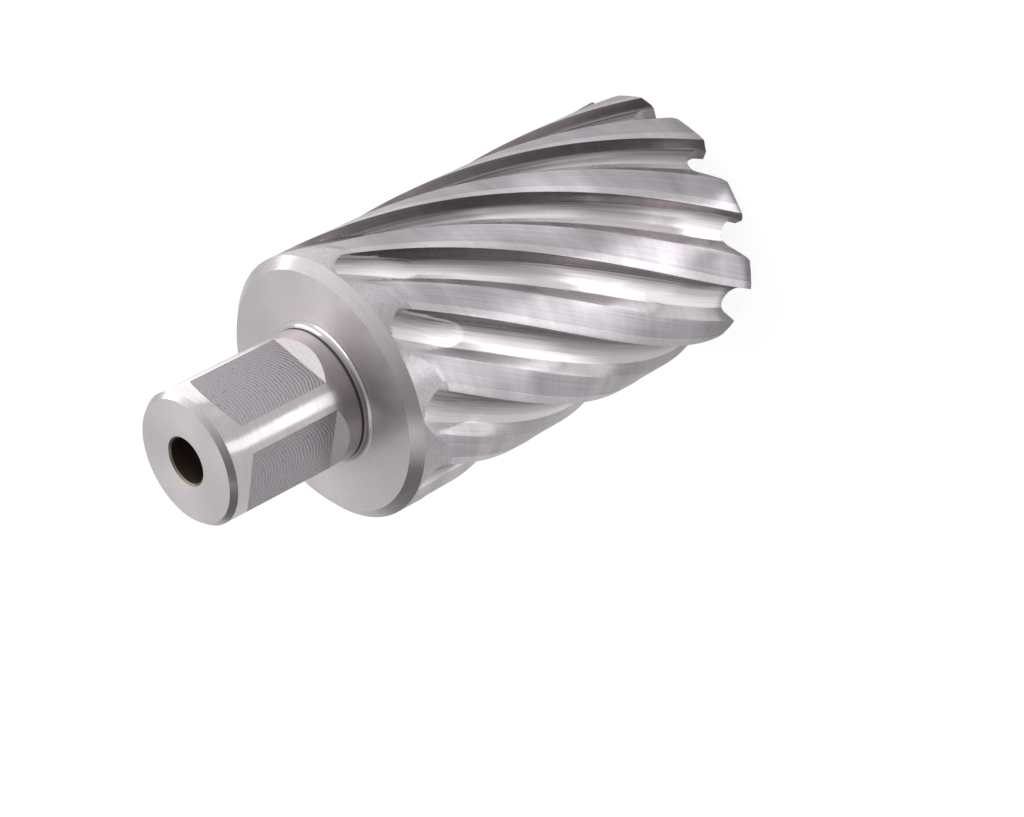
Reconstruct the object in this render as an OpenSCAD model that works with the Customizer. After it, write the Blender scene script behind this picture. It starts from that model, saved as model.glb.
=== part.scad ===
// Annular cutter of high-speed steel, ground from one bar: a plain shank with
// two side-lock flats, a square shoulder, and a hollow body with ten helical
// flutes and ten teeth. It stands on its tooth points with the shank up. The
// axis is Z and the origin is on the axis in the plane of the points.

/* [Shank] */
// Diameter of the plain shank
shank_d = 19.05; // [12:0.01:32]
// Length of the shank from its end face to the shoulder
shank_len = 23.5; // [14:0.1:40]
// Radial width of the chamfer on the end face
shank_chamfer_w = 0.65; // [0.2:0.05:1.5]
// Length of that chamfer along the shank
shank_chamfer_len = 0.87; // [0.2:0.01:2]
// Radius of the fillet between shank and shoulder
neck_fillet = 0.85; // [0.3:0.05:1.5]
// Axial width of the shallow relief groove beside the fillet
neck_groove_w = 0.35; // [0.1:0.05:1]
// Depth of that groove below the shank
neck_groove_depth = 0.12; // [0.05:0.01:0.4]

/* [Side lock flats] */
// Depth of each flat below the shank surface
flat_depth = 1.575; // [0.6:0.005:2.5]
// Distance from the end face to the near end of a flat floor
flat_near = 4.25; // [2.6:0.05:7]
// Distance from the end face to the far end of a flat floor
flat_far = 18.7; // [12:0.1:20]
// Axial run of the sloping wall at both ends of a flat
flat_wall_run = 1.45; // [0.5:0.05:2]
// Direction that the first flat faces
flat_angle = 52.9; // [0:0.1:90]
// Angle between the two flats
flat_spread = 90; // [60:1:180]

/* [Pilot bore] */
// Diameter of the bore that guides the pilot pin
pilot_d = 6.6; // [3:0.1:9]
// Width of the broken edge round the mouth of the bore
pilot_break = 0.27; // [0.05:0.01:0.5]

/* [Body] */
// Diameter over the cutting edges
body_d = 38; // [32:0.5:60]
// Distance from the end face of the shank to the tooth points
total_len = 87.3; // [70:0.1:120]
// Radial width of the chamfer round the shoulder
shoulder_chamfer_w = 1.5; // [0.3:0.1:2.5]
// Length of that chamfer along the body
shoulder_chamfer_len = 1.4; // [0.3:0.1:2.5]
// Wall thickness between the outside and the hollow for the slug
wall = 3; // [2.7:0.1:6]
// Thickness of the solid web between the shoulder and the hollow
web_len = 11.8; // [6:0.1:20]
// Chamfer round the bottom of the hollow
slug_corner = 1.2; // [0.2:0.1:3]

/* [Flutes] */
// Axial length of one full turn of a flute
helix_lead = 205; // [150:1:400]
// Angle of the first leading edge in the plane of the points
tooth_angle = -0.9; // [-18:0.1:18]
// Depth of the flute floor below the outside
flute_depth = 1.75; // [0.8:0.05:2.5]
// Depth at the foot of the wall under the cutting edge
lead_foot_depth = 1.5; // [0.6:0.05:2.4]
// Depth at the foot of the trailing wall
trail_foot_depth = 1.45; // [0.6:0.05:2.4]
// Depth of the land at its trailing edge
heel_relief = 0.2; // [0.05:0.01:0.4]
// Depth of the step behind the narrow margin at the cutting edge
margin_step = 0.07; // [0.03:0.01:0.2]
// Angle that the margin takes up behind the cutting edge
margin_sweep = 4.1; // [2:0.1:6]
// Distance from the end face to the nearest start of a flute
flute_start = 25; // [24.9:0.1:34]
// Axial distance between the starts at the two sides of a flute
start_skew = 3.6; // [0.5:0.1:6]
// Axial distance in which a flute reaches its full depth
run_out = 10; // [3:0.5:16]

/* [Teeth] */
// Radius of the rounded bottom of a gullet
gullet_r = 2; // [1:0.1:3]
// Distance of the gullet centre ahead of the cutting edge
gullet_ahead = 2.2; // [1.2:0.1:3]
// Height of the gullet centre above the points
gullet_rise = 2.15; // [1.2:0.05:4]
// Height of the outer corner on the flat-topped teeth
flat_tip_rise = 0.4; // [0.1:0.02:1.5]
// Height of the outer corner on the bevelled teeth
bevel_tip_rise = 0.8; // [0.5:0.05:2]
// Radial width of the bevel, from the outside to the point of a tooth
bevel_w = 1.4; // [0.8:0.1:2.4]
// Rise of both kinds of tooth from the point to the inner edge
inner_rise = 0.15; // [0:0.05:1]
// Angle by which a tooth top falls away behind its edge
relief_angle = 7; // [3:0.5:12]
// Forward lean of the front face of a tooth
rake_angle = 30; // [10:1:40]
// Angle by which the inner end of a cutting edge leads its outer end
edge_lead_angle = 12; // [0:1:25]
// Slope of the back of a gullet
gullet_slope = 42; // [30:1:60]

/* [Hidden] */
$fn = 0;
teeth = 10;
pitch = 360 / teeth;
steel = [0.72, 0.71, 0.71];
// Overrun of every cut past the surface that it opens
over = shank_d * 0.08;
shank_r = shank_d / 2;
body_r = body_d / 2;
slug_r = body_r - wall;
shoulder_z = total_len - shank_len;
slug_depth = shoulder_z - web_len;
start_z = total_len - flute_start;
half = 0.5;
// Turn of the helix for each unit of height
function turn(z) = 360 * z / helix_lead;

// Corner angles of the flute section, from the cutting edge forward
foot_a = -2.2;
mid_a = -6.0;
low_a = -11.5;
trail_a = -15.2;
slope_a = -18.2;
heel_a = -20.4;
land_a = -24.0;
margin_a = margin_sweep - pitch;
// Lean of the wall under the cutting edge, carried on past the outside
lead_a = -foot_a * over / lead_foot_depth;

// Depth at angle a on the straight line between two other corners
function between(a, a0, d0, a1, d1) = d0 + (d1 - d0) * (a - a0) / (a1 - a0);

// Each corner: angle, depth, and its share of the skew at the start
section = [
    [foot_a, lead_foot_depth, 0.7],
    [mid_a, flute_depth, 0.42],
    [low_a, flute_depth, 0.1],
    [trail_a, trail_foot_depth, 0],
    [slope_a, between(slope_a, trail_a, trail_foot_depth, heel_a, heel_relief), 0.13],
    [heel_a, heel_relief, 0.37],
    [land_a, between(land_a, heel_a, heel_relief, margin_a, margin_step), 1],
    [margin_a, margin_step, 1.25]
];
ramp_share = flute_depth / run_out;
rings = 27;
corner_n = len(section) + 2;

// Radius of one corner of the section at height z
function corner_r(c, z) = max(body_r - c[1],
    body_r + ramp_share * (z - start_z + c[2] * start_skew));

function polar(r, a, z) = [r * cos(a), r * sin(a), z];

// Closed section of a flute at height z
function ring(z) = concat(
    [polar(body_r + over, lead_a + turn(z), z)],
    [for (c = section) polar(corner_r(c, z), c[0] + turn(z), z)],
    [polar(body_r + over, margin_a + turn(z), z)]);

// Rings lie closer together in the run-out than along the rest of the flute
run_rings = 12;
run_len = run_out + start_skew + over;
top_z = start_z + over * half;
function ring_z(i) = i < run_rings
    ? top_z - run_len * i / run_rings
    : top_z - run_len
      - (top_z - run_len + over) * (i - run_rings) / (rings - run_rings);

module flute_cut() {
    pts = [for (i = [0:rings]) each ring(ring_z(i))];
    sides = [for (i = [0:rings - 1], j = [0:corner_n - 1])
        let (a = i * corner_n + j, b = i * corner_n + (j + 1) % corner_n)
        each [[a, b, b + corner_n], [a, b + corner_n, a + corner_n]]];
    first = [for (j = [corner_n - 1:-1:0]) j];
    last = [for (j = [0:corner_n - 1]) rings * corner_n + j];
    polyhedron(points = pts, faces = concat([first, last], sides));
}

// Gullet ahead of a tooth: round bottom, leaning front, sloping back. It runs
// from the axis, so that its slanting inner end is clear of the wall.
module gullet_cut() {
    front_y = -gullet_ahead + gullet_r * cos(rake_angle);
    front_z = gullet_rise - gullet_r * sin(rake_angle);
    back_y = -gullet_ahead - gullet_r * sin(gullet_slope);
    back_z = gullet_rise + gullet_r * cos(gullet_slope);
    long = body_r + over;
    floor_r = body_r - flute_depth;
    translate([floor_r, 0, 0]) rotate(edge_lead_angle)
    translate([-floor_r, 0, 0]) rotate([90, 0, 90]) {
        linear_extrude(long) polygon([
            [front_y, front_z],
            [-gullet_ahead, gullet_rise],
            [back_y, back_z],
            [back_y - (back_z + over) / tan(gullet_slope), -over],
            [front_y - (front_z + over) * tan(rake_angle), -over]]);
        translate([-gullet_ahead, gullet_rise, 0])
            cylinder(r = gullet_r, h = long);
    }
}

// Ground top of a tooth: everything below the sloping top is cut away, as far
// back as the next gullet
module top_cut(rise, tip_rise) {
    front = gullet_ahead;
    point_r = body_r - bevel_w;
    inner_slope = inner_rise / (wall - bevel_w);
    outer_slope = tip_rise / bevel_w;
    back = PI * body_d / teeth - gullet_ahead - gullet_r * (1 + half);
    translate([0, 0, rise]) rotate([relief_angle, 0, 0])
        translate([0, back, 0]) rotate([90, 0, 0])
            linear_extrude(back + front) polygon([
                [slug_r - over, (point_r - slug_r + over) * inner_slope],
                [point_r, 0],
                [body_r + over, (bevel_w + over) * outer_slope],
                [body_r + over, -bevel_tip_rise - 2 * over],
                [slug_r - over, -bevel_tip_rise - 2 * over]]);
}

module tooth_cuts(i) {
    rotate(tooth_angle + pitch * i + turn(flat_tip_rise)) {
        gullet_cut();
        if (i % 2 == 0)
            top_cut(0, bevel_tip_rise);
        else
            top_cut(flat_tip_rise * half, flat_tip_rise * half);
    }
}

// Flat on the shank with a sloping wall at each end
module flat_cut() {
    reach = shank_r - flat_depth;
    drop = over * flat_wall_run / flat_depth;
    rotate([90, 0, 0]) linear_extrude(shank_d, center = true) polygon([
        [reach, total_len - flat_far],
        [shank_r + over, total_len - flat_far - flat_wall_run - drop],
        [shank_r + over, total_len - flat_near + flat_wall_run + drop],
        [reach, total_len - flat_near]]);
}

// Turned shape of shank and body with its fillet and groove at the shoulder
module turned_blank() {
    top = total_len;
    groove_z = shoulder_z + neck_fillet;
    rotate_extrude() difference() {
        polygon([
            [0, 0],
            [body_r, 0],
            [body_r, shoulder_z - shoulder_chamfer_len],
            [body_r - shoulder_chamfer_w, shoulder_z],
            [shank_r + neck_fillet, shoulder_z],
            [shank_r + neck_fillet, groove_z],
            [shank_r - neck_groove_depth, groove_z],
            [shank_r - neck_groove_depth, groove_z + neck_groove_w],
            [shank_r, groove_z + neck_groove_w + neck_groove_depth],
            [shank_r, top - shank_chamfer_len],
            [shank_r - shank_chamfer_w, top],
            [0, top]]);
        translate([shank_r + neck_fillet, groove_z]) circle(r = neck_fillet);
    }
}

// Hollow for the slug, with a chamfered bottom
module slug_hollow() {
    rotate_extrude() polygon([
        [0, -over],
        [slug_r, -over],
        [slug_r, slug_depth - slug_corner],
        [slug_r - slug_corner, slug_depth],
        [0, slug_depth]]);
}

// Bore for the pilot pin, through the web and the whole shank
module pilot_bore() {
    r = pilot_d / 2;
    rotate_extrude() polygon([
        [0, slug_depth - over],
        [r, slug_depth - over],
        [r, total_len - pilot_break],
        [r + pilot_break, total_len],
        [r + pilot_break, total_len + over],
        [0, total_len + over]]);
}

module cutter() {
    color(steel) difference() {
        turned_blank();
        slug_hollow();
        pilot_bore();
        rotate(flat_angle) flat_cut();
        rotate(flat_angle - flat_spread) flat_cut();
        for (i = [0:teeth - 1]) tooth_cuts(i);
        for (i = [0:teeth - 1])
            rotate(tooth_angle + pitch * i) flute_cut();
    }
}

cutter();
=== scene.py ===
import math

import bmesh
import bpy
import numpy as np
from mathutils import Matrix, Vector


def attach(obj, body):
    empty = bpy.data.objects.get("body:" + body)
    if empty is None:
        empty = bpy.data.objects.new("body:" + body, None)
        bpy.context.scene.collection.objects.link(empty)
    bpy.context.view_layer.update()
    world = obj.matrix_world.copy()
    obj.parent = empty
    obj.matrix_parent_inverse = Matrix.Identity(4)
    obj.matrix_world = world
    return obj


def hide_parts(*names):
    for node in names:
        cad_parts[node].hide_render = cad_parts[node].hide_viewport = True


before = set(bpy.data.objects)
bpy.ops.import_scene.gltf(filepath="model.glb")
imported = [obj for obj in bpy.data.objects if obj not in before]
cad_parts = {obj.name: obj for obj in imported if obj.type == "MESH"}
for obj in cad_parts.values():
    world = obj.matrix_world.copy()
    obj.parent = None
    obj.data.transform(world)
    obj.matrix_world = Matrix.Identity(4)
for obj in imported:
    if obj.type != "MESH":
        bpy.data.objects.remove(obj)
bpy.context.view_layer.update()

# Camera. The cutter stands on its tooth points, and the camera is rolled so
# that the cutter leans across the picture as it does in the photograph. Its
# place and lens were fitted to the round edges of the shank and the body.
MM = 0.001
camera_at = Vector((436.4, 118.5, 348.9)) * MM
camera_right = Vector((0.61570, -0.30779, -0.72538))
camera_up = Vector((0.0, 0.92056, -0.39061))
photo_width = 1024
photo_focal = 4001.5
sensor = 36.0
nearest_seen = 0.01
farthest_seen = 50.0

camera_data = bpy.data.cameras.new("photo_camera")
camera_data.sensor_width = sensor
camera_data.lens = sensor * photo_focal / photo_width
camera_data.clip_start = nearest_seen
camera_data.clip_end = farthest_seen
camera = bpy.data.objects.new("photo_camera", camera_data)
camera_back = camera_right.cross(camera_up).normalized()
camera_axes = Matrix((camera_right, camera_up, camera_back)).transposed().to_4x4()
camera.matrix_world = Matrix.Translation(camera_at) @ camera_axes
bpy.context.collection.objects.link(camera)
bpy.context.scene.camera = camera
bpy.context.scene.view_settings.view_transform = "Standard"

# Shank, shoulder and pilot bore. One bar of high-speed steel is turned to a
# plain shank, a shallow groove, a fillet and a square shoulder, which leaves
# fine rings. The bore is drilled right through, and its mouth is broken.
length = 87.3
body_r = 19.0
shank_r = 9.525
shank_len = 23.5
shank_chamfer_w = 0.65
shank_chamfer_len = 0.87
flat_far = 18.7
groove_w = 0.35
groove_depth = 0.12
neck_fillet = 0.85
fillet_steps = 6
shoulder_chamfer_w = 1.5
shoulder_chamfer_len = 1.4
bore_r = 3.3
bore_break = 0.27
slug_depth = 52.0
shoulder_z = length - shank_len
chamfer_z = shoulder_z - shoulder_chamfer_len
fillet_z = shoulder_z + neck_fillet

finish_of = {}
finish_materials = []


class Steel:
    """One finish of the same steel, built up from its marks."""

    def __init__(self, name, color, rough):
        self.material = bpy.data.materials.new(name)
        finish_of[name] = len(finish_materials)
        finish_materials.append(self.material)
        self.material.use_nodes = True
        self.nodes = self.material.node_tree.nodes
        self.links = self.material.node_tree.links
        self.shader = self.nodes["Principled BSDF"]
        self.shader.inputs["Base Color"].default_value = (*color, 1)
        self.shader.inputs["Metallic"].default_value = 1.0
        self.shader.inputs["Roughness"].default_value = rough
        self.color = color
        self.height = None
        place = self.nodes.new("ShaderNodeTexCoord")
        split = self.nodes.new("ShaderNodeSeparateXYZ")
        self.where = place.outputs["Object"]
        self.links.new(self.where, split.inputs[0])
        self.x, self.y, self.z = split.outputs

    def feed(self, node, values):
        """Sets the node's first inputs to numbers or links them to sockets."""
        for socket, value in zip(node.inputs, values):
            if isinstance(value, (int, float)):
                socket.default_value = value
            else:
                self.links.new(value, socket)
        return node.outputs[0]

    def math(self, kind, *values):
        node = self.nodes.new("ShaderNodeMath")
        node.operation = kind
        return self.feed(node, values)

    def combine(self, x, y, z):
        return self.feed(self.nodes.new("ShaderNodeCombineXYZ"), (x, y, z))

    def round_mm(self):
        """Way round the body from the +X side, in mm."""
        return self.math("MULTIPLY", self.math("ARCTAN2", self.y, self.x), body_r)

    def radius_mm(self):
        square = self.math("ADD", self.math("MULTIPLY", self.x, self.x),
                           self.math("MULTIPLY", self.y, self.y))
        return self.math("MULTIPLY", self.math("SQRT", square), 1 / MM)

    def noise(self, vector, scale, detail, rough):
        node = self.nodes.new("ShaderNodeTexNoise")
        node.inputs["Scale"].default_value = scale
        node.inputs["Detail"].default_value = detail
        node.inputs["Roughness"].default_value = rough
        self.links.new(vector, node.inputs["Vector"])
        return node.outputs["Fac"]

    def streaks(self, vector):
        return self.noise(vector, 1.0, 3.0, 0.6)

    def clouds(self, scale):
        return self.noise(self.where, scale, 2.0, 0.5)

    def ramp(self, value, low, high, start, end):
        node = self.nodes.new("ShaderNodeMapRange")
        return self.feed(node, (value, low, high, start, end))

    def shade(self, value, dark, light, low=0.3, high=0.7):
        """Base colour between two shares of the steel colour."""
        node = self.nodes.new("ShaderNodeMix")
        node.data_type = "RGBA"
        node.inputs["A"].default_value = (*[c * dark for c in self.color], 1)
        node.inputs["B"].default_value = (*[min(1.0, c * light) for c in self.color], 1)
        self.links.new(self.ramp(value, low, high, 0.0, 1.0), node.inputs["Factor"])
        self.links.new(node.outputs["Result"], self.shader.inputs["Base Color"])

    def gloss(self, value, smooth, matte):
        self.links.new(self.ramp(value, 0.3, 0.7, smooth, matte),
                       self.shader.inputs["Roughness"])

    def relief(self, value, depth_mm):
        node = self.nodes.new("ShaderNodeBump")
        node.inputs["Strength"].default_value = 1.0
        node.inputs["Distance"].default_value = depth_mm * MM
        self.links.new(value, node.inputs["Height"])
        if self.height is not None:
            self.links.new(self.height, node.inputs["Normal"])
        self.height = node.outputs["Normal"]
        self.links.new(self.height, self.shader.inputs["Normal"])

    def grain(self, along, amount):
        """Stretches the highlights across marks that run along a tangent."""
        self.shader.inputs["Anisotropic"].default_value = amount
        self.shader.inputs["Anisotropic Rotation"].default_value = 0.25
        self.links.new(along, self.shader.inputs["Tangent"])


def turned_finish(name, color, rough, fine, long, contrast, depth, stretch):
    """Rings round the axis: fine per mm across them, long per mm along them."""
    steel = Steel(name, color, rough)
    marks = steel.streaks(steel.combine(
        steel.math("MULTIPLY", steel.round_mm(), long),
        steel.math("MULTIPLY", steel.z, fine / MM),
        steel.math("MULTIPLY", steel.radius_mm(), fine)))
    steel.shade(marks, 1.0 - contrast, 1.0 + contrast)
    steel.gloss(steel.clouds(180.0), rough * 0.85, rough * 1.2)
    steel.relief(marks, depth)
    around = steel.nodes.new("ShaderNodeTangent")
    around.direction_type = "RADIAL"
    around.axis = "Z"
    steel.grain(around.outputs[0], stretch)


# Name, colour, roughness, fine, long, contrast, depth in mm, stretch
turned_finish("bore", (0.34, 0.27, 0.23), 0.35, 3.0, 0.05, 0.15, 0.010, 0.5)
turned_finish("end_face", (0.75, 0.715, 0.725), 0.44, 5.0, 1.2, 0.06, 0.002, 0.2)
turned_finish("chamfer", (0.77, 0.74, 0.755), 0.26, 5.0, 0.20, 0.05, 0.002, 0.5)
turned_finish("shank", (0.79, 0.76, 0.775), 0.19, 5.0, 0.12, 0.07, 0.002, 0.6)
turned_finish("neck", (0.70, 0.645, 0.655), 0.16, 5.0, 0.12, 0.07, 0.002, 0.5)
# The groove's dark colour is painted shade in the recess
turned_finish("groove", (0.22, 0.20, 0.20), 0.40, 4.0, 0.05, 0.10, 0.003, 0.5)
turned_finish("fillet", (0.74, 0.71, 0.72), 0.20, 4.0, 0.10, 0.06, 0.002, 0.5)
turned_finish("shoulder", (0.74, 0.70, 0.71), 0.40, 5.0, 0.8, 0.06, 0.002, 0.35)

# The outline is a list of rings: radius, height, and the finish up to the next
rings = []


def ring(radius, height, finish):
    rings.append((radius, height, finish))


def rings_between(start, end, count, finish):
    """Even rings from start up to, but not counting, end."""
    for k in range(count):
        ring(start[0] + (end[0] - start[0]) * k / count,
             start[1] + (end[1] - start[1]) * k / count, finish)


bore_top = (bore_r, length - bore_break)
face_in = (bore_r + bore_break, length)
face_out = (shank_r - shank_chamfer_w, length)
shank_top = (shank_r, length - shank_chamfer_len)
neck_top = (shank_r, length - flat_far)
groove_top = (shank_r, fillet_z + groove_w + groove_depth)
shoulder_in = (shank_r + neck_fillet, shoulder_z)
shoulder_out = (body_r - shoulder_chamfer_w, shoulder_z)

rings_between((bore_r, slug_depth), bore_top, 6, "bore")
rings_between(bore_top, face_in, 2, "bore")
rings_between(face_in, face_out, 4, "end_face")
rings_between(face_out, shank_top, 2, "chamfer")
rings_between(shank_top, neck_top, 8, "shank")
rings_between(neck_top, groove_top, 2, "neck")
ring(*groove_top, "groove")
ring(shank_r - groove_depth, fillet_z + groove_w, "groove")
ring(shank_r - groove_depth, fillet_z, "groove")
for k in range(fillet_steps):
    turned_by = math.radians(180 + 90 * k / fillet_steps)
    ring(shank_r + neck_fillet + neck_fillet * math.cos(turned_by),
         fillet_z + neck_fillet * math.sin(turned_by), "fillet")
rings_between(shoulder_in, shoulder_out, 4, "shoulder")
rings_between(shoulder_out, (body_r, chamfer_z), 3, "chamfer")

# Body with its flutes, lands and margins. Ten right-hand flutes are ground
# into the bar and ease out under the shoulder. Each leaves a narrow margin at
# the cutting edge and a land that falls away a little behind it.
teeth = 10
pitch = 360.0 / teeth
helix_lead = 205.0
lead_mm = helix_lead / (2 * math.pi)
tooth_angle = -0.9
flute_start = 25.0
start_skew = 3.6
run_out = 10.0
flute_depth = 1.75
edge_round = 0.06
foot_round = 0.7
floor_round = 3.0
heel_round = 1.2
sharp = 0.02
most_cut = 0.45
widest_step = 1.5
flute_rings = 56
below = 1.0
margin_setback = 1.4
past_run_out = 1.0
ground_from = 0.004
start_z = length - flute_start
margin_z = start_z - margin_setback * start_skew

turned_finish("body", (0.61, 0.578, 0.606), 0.32, 4.5, 2.5, 0.16, 0.004, 0.4)


def helix_streaks(steel, fine, long):
    """Noise drawn out along the flutes: fine per mm across, long per mm along."""
    off_helix = steel.math("MULTIPLY_ADD", steel.z, -body_r / (lead_mm * MM), steel.round_mm())
    return steel.streaks(steel.combine(
        steel.math("MULTIPLY", off_helix, fine),
        steel.math("MULTIPLY", steel.z, long / MM),
        steel.math("MULTIPLY", steel.radius_mm(), 0.3 * fine)))


def ground_finish(name, color, rough, fine, long, contrast, depth):
    """Lines along the helix with soft bands in them."""
    steel = Steel(name, color, rough)
    lines = helix_streaks(steel, fine, long)
    bands = helix_streaks(steel, 0.05, 0.22)
    tone = steel.math("MULTIPLY_ADD", bands, 0.9, steel.math("MULTIPLY", lines, 0.6))
    steel.shade(tone, 1.0 - 1.6 * contrast, 1.0 + 1.6 * contrast, 0.5, 1.0)
    steel.gloss(steel.clouds(150.0), rough * 0.8, rough * 1.3)
    steel.relief(lines, depth)
    steel.relief(bands, 0.05)
    backward = steel.math("MULTIPLY", steel.y, -1.0)
    steel.grain(steel.combine(backward, steel.x, lead_mm * MM), 0.65)
    return steel, lines


# Name, colour, roughness, fine, long, contrast, depth in mm
ground_finish("margin", (0.76, 0.735, 0.765), 0.34, 4.0, 1.20, 0.10, 0.003)
ground_finish("land", (0.61, 0.575, 0.610), 0.33, 4.5, 0.05, 0.16, 0.003)
# The front wall's colour, darker than the back wall's, is painted shade for the dark that it
# mirrors
ground_finish("front_wall", (0.38, 0.335, 0.335), 0.28, 5.0, 0.06, 0.16, 0.006)
ground_finish("back_wall", (0.66, 0.63, 0.65), 0.26, 5.0, 0.05, 0.12, 0.005)
steel, lines = ground_finish("floor", (0.92, 0.873, 0.893), 0.27, 4.5, 0.04, 0.12, 0.006)

# The floor's colour is darker under the cutting edge: painted shade for the
# leading wall, which shades the floor there and darkens what it mirrors. Two
# whole turns are added, so that the angle from the edge is positive everywhere
two_turns = 720.0
turn_deg = steel.math("MULTIPLY_ADD", steel.z, -360.0 / (helix_lead * MM),
                      steel.math("MULTIPLY", steel.round_mm(), math.degrees(1 / body_r)))
from_edge = steel.math("SUBTRACT", two_turns + tooth_angle, turn_deg)
from_edge = steel.math("MODULO", from_edge, pitch)
painted_shade = steel.math("ADD", from_edge, steel.math("MULTIPLY", lines, 2.0))
painted_shade = steel.ramp(painted_shade, 3.5, 15.5, 0.0, 0.9)
painted_shade = steel.math("ADD", painted_shade, steel.math("MULTIPLY", lines, 0.4))
steel.shade(painted_shade, 0.17, 1.08, 0.15, 1.0)

# Corners of the section: degrees from the cutting edge, depth, rounding,
# share of the skew at the start, and the finish of the stretch that follows
corners = [
    (0.0, 0.0, edge_round, 1.0, "front_wall"),
    (-2.2, 1.5, foot_round, 0.7, "floor"),
    (-6.0, flute_depth, floor_round, 0.42, "floor"),
    (-11.5, flute_depth, floor_round, 0.1, "floor"),
    (-15.2, 1.45, heel_round, 0.0, "back_wall"),
    (-18.2, 0.729, sharp, 0.13, "back_wall"),
    (-20.4, 0.2, edge_round, 0.37, "land"),
    (-24.0, 0.159, sharp, 1.0, "land"),
    (-31.9, 0.07, sharp, 1.25, "margin"),
    (-32.05, 0.0, sharp, 1.25, "margin"),
]


def rounded_corners():
    """Points of one pitch with its corners rounded: degrees, depth, finish."""
    mm_per_deg = math.radians(body_r)
    points = [Vector((angle * mm_per_deg, depth)) for angle, depth, *_ in corners]
    one_pitch = Vector((pitch * mm_per_deg, 0))
    before = [points[-1] + one_pitch] + points[:-1]
    after = points[1:] + [points[0] - one_pitch]
    out = []
    for i, (angle, depth, rounding, _, finish) in enumerate(corners):
        if rounding < edge_round:
            out.append((angle, depth, finish))
            continue
        here = points[i]
        back = before[i] - here
        onward = after[i] - here
        cut = rounding * math.tan((math.pi - back.angle(onward)) / 2)
        cut = min(cut, most_cut * back.length, most_cut * onward.length)
        a = here + back.normalized() * cut
        b = here + onward.normalized() * cut
        count = 5 if rounding > 0.5 else 2
        for j in range(count + 1):
            t = j / count
            p = a * (1 - t) ** 2 + here * 2 * t * (1 - t) + b * t ** 2
            ahead = finish if j >= count / 2 else corners[i - 1][4]
            out.append((p.x / mm_per_deg, max(p.y, 0.0), ahead))
    return out


def section_samples():
    """The rounded section with its long stretches divided."""
    points = rounded_corners()
    next_pitch = (points[0][0] - pitch, points[0][1], "")
    samples = []
    for here, following in zip(points, points[1:] + [next_pitch]):
        samples.append(here)
        extra = int((here[0] - following[0]) / widest_step)
        for m in range(1, extra + 1):
            t = m / (extra + 1)
            samples.append((here[0] + (following[0] - here[0]) * t,
                            here[1] + (following[1] - here[1]) * t, here[2]))
    return samples


section = section_samples()
angles = np.array([s[0] - pitch * k for k in range(teeth) for s in section])
depths = np.array([s[1] for s in section] * teeth)
kinds = [s[2] for s in section] * teeth
skew_angles = [-c[0] for c in corners] + [pitch]
skew_shares = [c[3] for c in corners] + [corners[0][3]]
skews = np.interp(np.mod(-angles, pitch), skew_angles, skew_shares) * start_skew
columns = len(angles)


def fluted_radius(z):
    """Radius of every column at height z, easing out at the shank end."""
    rise = body_r + flute_depth / run_out * (z - start_z + skews)
    return np.minimum(np.maximum(body_r - depths, rise), body_r)


ease_end = chamfer_z - (run_out + start_skew + past_run_out)
heights = [*np.linspace(chamfer_z, ease_end, flute_rings, endpoint=False),
           *np.linspace(ease_end, -below, flute_rings)]
for z in heights:
    ring(fluted_radius(z), z, "ground")

# Hollow for the slug. It is bored into the bar from the cutting end. It can't
# be seen in the photograph, so its plain wall and chamfered bottom follow what
# such cutters have. Its rings close the outline, and the mesh is made here.
slug_r = 16.0
slug_corner = 1.2
wall_top = (slug_r, slug_depth - slug_corner)
web_out = (slug_r - slug_corner, slug_depth)

turned_finish("hollow", (0.60, 0.57, 0.57), 0.35, 2.0, 0.04, 0.12, 0.010, 0.6)
rings_between((slug_r, -below), wall_top, 10, "hollow")
rings_between(wall_top, web_out, 2, "hollow")
rings_between(web_out, (bore_r, slug_depth), 3, "hollow")


def helix_turn(z):
    """Degrees that the flutes turn in the height z."""
    return 360.0 * z / helix_lead


def face_finish(radius, z, finish, k, m):
    """Finish of the face above a ring, between its columns k and m."""
    if finish != "ground":
        return finish_of[finish]
    on_margin = kinds[k] == "margin" and z < margin_z
    if on_margin or body_r - min(radius[k], radius[m]) > ground_from:
        return finish_of[kinds[k]]
    return finish_of["body"]


points = []
faces = []
face_finishes = []
for i, (radius, z, finish) in enumerate(rings):
    j = (i + 1) % len(rings)
    a = np.radians(angles + tooth_angle + helix_turn(z))
    points.append(np.stack([radius * np.cos(a), radius * np.sin(a), np.full(columns, z)], 1))
    for k in range(columns):
        m = (k + 1) % columns
        faces.append((i * columns + k, i * columns + m, j * columns + m, j * columns + k))
        face_finishes.append(face_finish(radius, z, finish, k, m))
bar_mesh = bpy.data.meshes.new("cutter")
bar_mesh.from_pydata((np.concatenate(points) * MM).tolist(), [], faces)
bar_mesh.polygons.foreach_set("material_index", face_finishes)
cutter = bpy.data.objects.new("cutter_steel", bar_mesh)
bpy.context.collection.objects.link(cutter)

# Teeth. A round gullet is ground in front of each cutting edge, and the tops
# are ground with a little relief. Every second tooth has a bevel from its
# point to the outside, and the ones between are almost flat.
gullet_r = 2.0
gullet_ahead = 2.2
gullet_rise = 2.15
gullet_slope = 42.0
gullet_steps = 24
rake_angle = 30.0
edge_lead_angle = 12.0
relief_angle = 7.0
flat_tip_rise = 0.4
bevel_tip_rise = 0.8
bevel_w = 1.4
inner_rise = 0.15
over = 1.5
back_gap = 1.5
top_back = 2 * math.pi * body_r / teeth - gullet_ahead - back_gap * gullet_r
edge_turn = tooth_angle + helix_turn(flat_tip_rise)
floor_r = body_r - flute_depth


def cut_finish(name, color, rough):
    """Short fine lines, as on the faces that are cut last."""
    steel = Steel(name, color, rough)
    lines = helix_streaks(steel, 2.0, 2.5)
    steel.shade(lines, 0.9, 1.08)
    steel.relief(lines, 0.003)


# The gullet's colour, lighter than the tooth tops', is painted light for the shade that it
# mirrors
cut_finish("gullet", (0.86, 0.83, 0.84), 0.42)
cut_finish("tooth_top", (0.77, 0.74, 0.755), 0.26)


def spin(angle):
    return Matrix.Rotation(math.radians(angle), 4, "Z")


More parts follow.
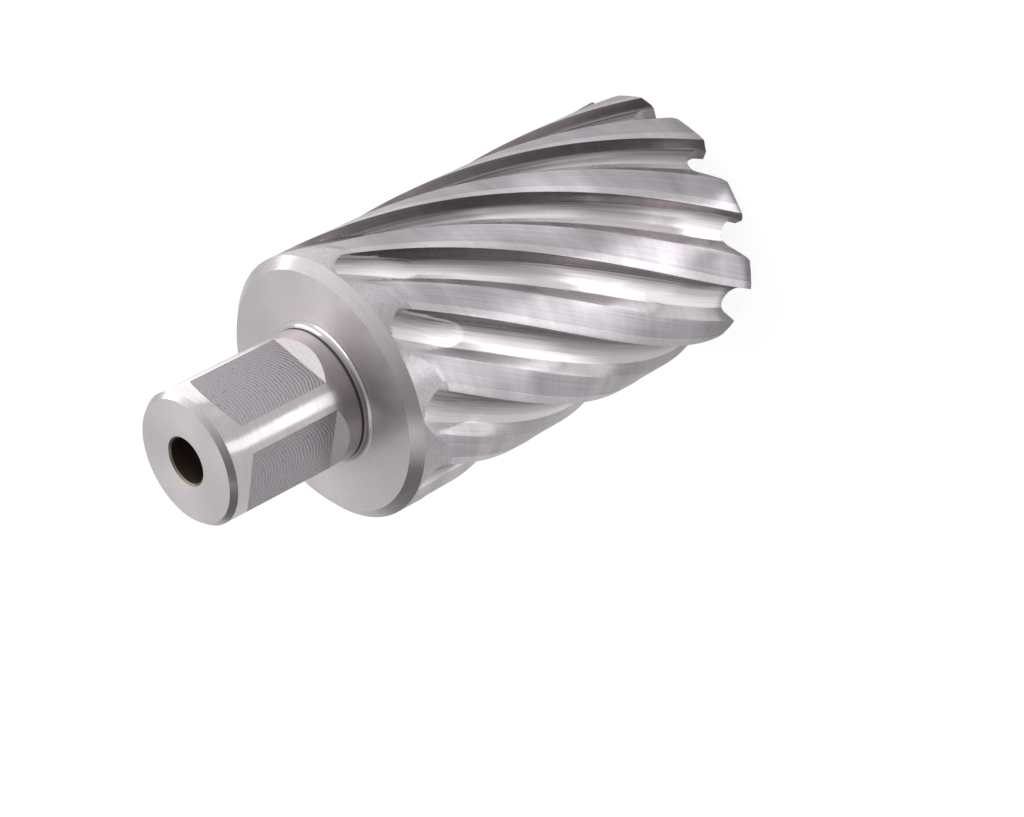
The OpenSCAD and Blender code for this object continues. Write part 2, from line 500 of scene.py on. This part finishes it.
# Planes that the outlines are drawn in
across_up = Matrix(((0, 0, 1, 0), (1, 0, 0, 0), (0, 1, 0, 0), (0, 0, 0, 1)))
along_up = Matrix(((1, 0, 0, 0), (0, 0, 1, 0), (0, 1, 0, 0), (0, 0, 0, 1)))


def prism(bm, outline, low, high, place, finishes):
    """Adds the outline drawn out from low to high. Its ends take the first finish."""
    count = len(outline)
    ends = [[bm.verts.new(place @ Vector((u, v, w)) * MM) for u, v in outline]
            for w in (low, high)]
    made = [bm.faces.new(ends[0][::-1]), bm.faces.new(ends[1])]
    for k in range(count):
        m = (k + 1) % count
        made.append(bm.faces.new((ends[0][k], ends[0][m], ends[1][m], ends[1][k])))
    for k, face in enumerate(made):
        face.material_index = finishes[max(k - 2, 0) % len(finishes)]
    bmesh.ops.recalc_face_normals(bm, faces=made)


def cut_away(name, bm):
    """Takes the shape in bm out of the cutter."""
    tool_mesh = bpy.data.meshes.new(name)
    bm.to_mesh(tool_mesh)
    bm.free()
    tool = bpy.data.objects.new(name, tool_mesh)
    bpy.context.collection.objects.link(tool)
    for material in finish_materials[len(cutter.data.materials):]:
        cutter.data.materials.append(material)
    for material in finish_materials:
        tool_mesh.materials.append(material)
    cut = cutter.modifiers.new("cut", "BOOLEAN")
    cut.operation = "DIFFERENCE"
    cut.solver = "MANIFOLD"
    cut.object = tool
    graph = bpy.context.evaluated_depsgraph_get()
    remaining = bpy.data.meshes.new_from_object(cutter.evaluated_get(graph))
    cutter.modifiers.clear()
    cutter.data = remaining
    bpy.data.objects.remove(tool)


def gullet_outline():
    """Front face, round bottom and sloping back, across and up."""
    first = -rake_angle
    last = 90.0 + gullet_slope
    outline = []
    for k in range(gullet_steps + 1):
        a = math.radians(first + (last - first) * k / gullet_steps)
        outline.append((-gullet_ahead + gullet_r * math.cos(a),
                        gullet_rise + gullet_r * math.sin(a)))
    front_y, front_z = outline[0]
    back_y, back_z = outline[-1]
    outline.append((back_y - (back_z + over) / math.tan(math.radians(gullet_slope)), -over))
    outline.append((front_y - (front_z + over) * math.tan(math.radians(rake_angle)), -over))
    return outline


def top_outline(tip_rise):
    """From the hollow up to the point of the tooth and over to the outside."""
    deep = -bevel_tip_rise - 2 * over
    point_r = body_r - bevel_w
    inner = (point_r - slug_r + over) * inner_rise / (point_r - slug_r)
    outer = (bevel_w + over) * tip_rise / bevel_w
    return [(slug_r - over, inner), (point_r, 0.0), (body_r + over, outer),
            (body_r + over, deep), (slug_r - over, deep)]


# Every second gullet or top is cut at a time, and then the ones between
lean = (Matrix.Translation((floor_r, 0, 0)) @ spin(edge_lead_angle)
        @ Matrix.Translation((-floor_r, 0, 0)))
for start in (0, 1):
    gullets = bmesh.new()
    for i in range(start, teeth, 2):
        prism(gullets, gullet_outline(), 0.0, body_r + over,
              spin(edge_turn + pitch * i) @ lean @ across_up, [finish_of["gullet"]])
    cut_away("gullets", gullets)
tilt = Matrix.Rotation(math.radians(relief_angle), 4, "X")
for start, rise, tip_rise in ((0, 0.0, bevel_tip_rise),
                              (1, flat_tip_rise / 2, flat_tip_rise / 2)):
    lift = Matrix.Translation((0, 0, rise))
    tops = bmesh.new()
    for i in range(start, teeth, 2):
        prism(tops, top_outline(tip_rise), -gullet_ahead, top_back,
              spin(edge_turn + pitch * i) @ lift @ tilt @ along_up, [finish_of["tooth_top"]])
    cut_away("tops", tops)

# Side-lock flats. Two flats are milled into the shank, a quarter turn apart,
# for the screws of the holder. The end mill leaves sloping walls at both ends
# and fine arcs on the floor. The cutter is complete with them.
flat_depth = 1.575
flat_near = 4.25
flat_wall_run = 1.45
flat_angle = 52.9
flat_spread = 90.0
mill_r = 7.6
mill_aside = 1.2
arc_wobble = 0.5
sharp_edge = 22

# The walls' near-white colour, far lighter than the flat's, is painted light for the light that
# they mirror
cut_finish("flat_wall", (0.92, 0.885, 0.90), 0.34)
steel = Steel("flat", (0.50, 0.47, 0.50), 0.30)

# Way across either flat: the first faces out, and the second faces side
faces_at = math.radians(flat_angle)
out = steel.math("ADD", steel.math("MULTIPLY", steel.x, math.cos(faces_at)),
                 steel.math("MULTIPLY", steel.y, math.sin(faces_at)))
side = steel.math("SUBTRACT", steel.math("MULTIPLY", steel.y, math.cos(faces_at)),
                  steel.math("MULTIPLY", steel.x, math.sin(faces_at)))
on_first = steel.math("GREATER_THAN", steel.math("ABSOLUTE", out),
                      steel.math("ABSOLUTE", side))
on_second = steel.math("SUBTRACT", 1.0, on_first)
across = steel.math("ADD", steel.math("MULTIPLY", on_first, side),
                    steel.math("MULTIPLY", on_second, out))
across = steel.math("ADD", across, mill_aside * MM)
bend = steel.math("SQRT", steel.math("SUBTRACT", (mill_r * MM) ** 2,
                                     steel.math("MULTIPLY", across, across)))
wobble = steel.math("MULTIPLY", steel.clouds(500.0), arc_wobble * MM)
near_z = (length - flat_near) * MM
far_z = (length - flat_far) * MM

# Both ways that the arcs bend: spacing, and strength at the near and far end
marks = 0.35
for way, spacing, near_share, far_share in ((1.0, 0.52, 0.14, 0.42),
                                            (-1.0, 0.40, 0.20, 0.04)):
    run = steel.math("ADD", steel.z, steel.math("MULTIPLY", bend, way))
    run = steel.math("ADD", run, wobble)
    wave = steel.math("SINE", steel.math("MULTIPLY", run, 2 * math.pi / (spacing * MM)))
    share = steel.ramp(steel.z, near_z, far_z, near_share, far_share)
    marks = steel.math("MULTIPLY_ADD", wave, share, marks)
marks = steel.math("MULTIPLY_ADD", steel.clouds(2500.0), 0.3, marks)
pits = steel.ramp(steel.clouds(1900.0), 0.64, 0.70, 0.0, 0.6)
marks = steel.math("SUBTRACT", marks, pits)
steel.shade(marks, 0.62, 1.28, 0.0, 0.95)
steel.relief(marks, 0.012)

flat_r = shank_r - flat_depth
over_run = flat_wall_run + over * flat_wall_run / flat_depth
flat_outline = [(flat_r, length - flat_far),
                (shank_r + over, length - flat_far - over_run),
                (shank_r + over, length - flat_near + over_run),
                (flat_r, length - flat_near)]
wall = finish_of["flat_wall"]
for angle in (flat_angle, flat_angle - flat_spread):
    flat = bmesh.new()
    prism(flat, flat_outline, -shank_r, shank_r, spin(angle) @ along_up,
          [wall, wall, wall, finish_of["flat"]])
    cut_away("flat", flat)

cutter.data.polygons.foreach_set("use_smooth", [True] * len(cutter.data.polygons))
cutter.data.set_sharp_from_angle(angle=math.radians(sharp_edge))
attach(cutter, "root")
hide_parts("cutter")

# Studio. The cutter stands on a plain white table. Three softboxes stand round
# it, and lit strips that the camera doesn't see lie on the table, where the
# ground steel mirrors them.
subject = Vector((0, 0, 0.045))
softbox_reach = 0.5
strip_height = 0.0005


def heading(azimuth, elevation):
    a = math.radians(azimuth)
    e = math.radians(elevation)
    return Vector((math.cos(a) * math.cos(e), math.sin(a) * math.cos(e), math.sin(e)))


def lamp(name, place, width, height, radiance):
    """Area lamp seen only by the steel and the table, not by the camera."""
    data = bpy.data.lights.new(name, "AREA")
    data.shape = "RECTANGLE"
    data.size = width
    data.size_y = height
    data.energy = radiance * math.pi * width * height
    obj = bpy.data.objects.new(name, data)
    obj.matrix_world = place
    obj.visible_camera = False
    bpy.context.collection.objects.link(obj)


def softbox(name, azimuth, elevation, width, height, radiance):
    """Lamp at arm's length that faces the cutter."""
    away = heading(azimuth, elevation)
    aim = away.to_track_quat("Z", "Y").to_matrix().to_4x4()
    lamp(name, Matrix.Translation(subject + away * softbox_reach) @ aim,
         width, height, radiance)


def table_strip(name, azimuth, start, end, width, radiance):
    """Lit strip that lies on the table and runs away from the cutter."""
    middle = heading(azimuth, 0) * (start + end) / 2 + Vector((0, 0, strip_height))
    aim = spin(azimuth) @ Matrix.Rotation(math.pi, 4, "X")
    lamp(name, Matrix.Translation(middle) @ aim, end - start, width, radiance)


# Name, azimuth, elevation, width, height, radiance
softbox("key_softbox", 150, 66, 0.30, 0.30, 1.9)
softbox("fill_softbox", -75, 52, 0.26, 0.26, 0.45)
softbox("rear_softbox", 120, 9, 0.47, 0.145, 2.6)

# Name, azimuth, start and end from the axis, width, radiance
table_strip("strip_foot", -2, 0.0200, 0.034, 0.010, 0.95)
table_strip("strip_near", -3, 0.0340, 0.106, 0.024, 1.10)
table_strip("strip_far", 0, 0.108, 0.160, 0.042, 1.15)
table_strip("front_glow", -26, 0.032, 0.100, 0.032, 0.60)
table_strip("foot_glow", -36, 0.0200, 0.032, 0.015, 0.45)
table_strip("side_glow", 66, 0.044, 0.128, 0.044, 0.42)
table_strip("rear_glow", 133, 0.105, 0.340, 0.25, 0.55)

# The room is lighter on the far side, and plain white for the camera
world = bpy.data.worlds.new("studio")
bpy.context.scene.world = world
world.use_nodes = True
nodes = world.node_tree.nodes
links = world.node_tree.links
room = nodes["Background"]
room.inputs["Color"].default_value = (1.0, 0.985, 0.985, 1)
where = nodes.new("ShaderNodeTexCoord")
toward = nodes.new("ShaderNodeVectorMath")
toward.operation = "DOT_PRODUCT"
toward.inputs[1].default_value = heading(130, 30)
links.new(where.outputs["Generated"], toward.inputs[0])
level = nodes.new("ShaderNodeMapRange")
level.inputs["From Min"].default_value = -0.30
level.inputs["From Max"].default_value = 1.0
level.inputs["To Min"].default_value = 0.12
level.inputs["To Max"].default_value = 0.80
links.new(toward.outputs["Value"], level.inputs["Value"])
links.new(level.outputs["Result"], room.inputs["Strength"])
white = nodes.new("ShaderNodeBackground")
white.inputs["Color"].default_value = (1, 1, 1, 1)
path = nodes.new("ShaderNodeLightPath")
mix = nodes.new("ShaderNodeMixShader")
links.new(path.outputs["Is Camera Ray"], mix.inputs[0])
links.new(room.outputs[0], mix.inputs[1])
links.new(white.outputs[0], mix.inputs[2])
links.new(mix.outputs[0], nodes["World Output"].inputs[0])

# For the camera most of the table's light is its own, so that it comes out
# white and still takes the shadow. A little of that shows in the steel
seen_share = 0.74
mirrored_share = 0.11
half = 3.0
table_mesh = bpy.data.meshes.new("floor")
table_mesh.from_pydata([(-half, -half, 0), (half, -half, 0), (half, half, 0), (-half, half, 0)],
                       [], [(0, 1, 2, 3)])
table = bpy.data.objects.new("floor", table_mesh)
bpy.context.collection.objects.link(table)
pale = bpy.data.materials.new("white_table")
pale.use_nodes = True
nodes = pale.node_tree.nodes
links = pale.node_tree.links
top = nodes["Principled BSDF"]
top.inputs["Base Color"].default_value = (0.78, 0.78, 0.78, 1)
top.inputs["Roughness"].default_value = 0.8
glow = nodes.new("ShaderNodeEmission")
glow.inputs["Strength"].default_value = 1.25
path = nodes.new("ShaderNodeLightPath")
seen = nodes.new("ShaderNodeMath")
seen.operation = "MULTIPLY"
seen.inputs[1].default_value = seen_share
links.new(path.outputs["Is Camera Ray"], seen.inputs[0])
mirrored = nodes.new("ShaderNodeMath")
mirrored.operation = "MAXIMUM"
links.new(path.outputs["Is Glossy Ray"], mirrored.inputs[0])
links.new(path.outputs["Is Transmission Ray"], mirrored.inputs[1])
glowing = nodes.new("ShaderNodeMath")
glowing.operation = "MULTIPLY_ADD"
glowing.inputs[1].default_value = mirrored_share
links.new(mirrored.outputs[0], glowing.inputs[0])
links.new(seen.outputs[0], glowing.inputs[2])
blend = nodes.new("ShaderNodeMixShader")
links.new(glowing.outputs[0], blend.inputs[0])
links.new(top.outputs[0], blend.inputs[1])
links.new(glow.outputs[0], blend.inputs[2])
links.new(blend.outputs[0], nodes["Material Output"].inputs[0])
table.data.materials.append(pale)
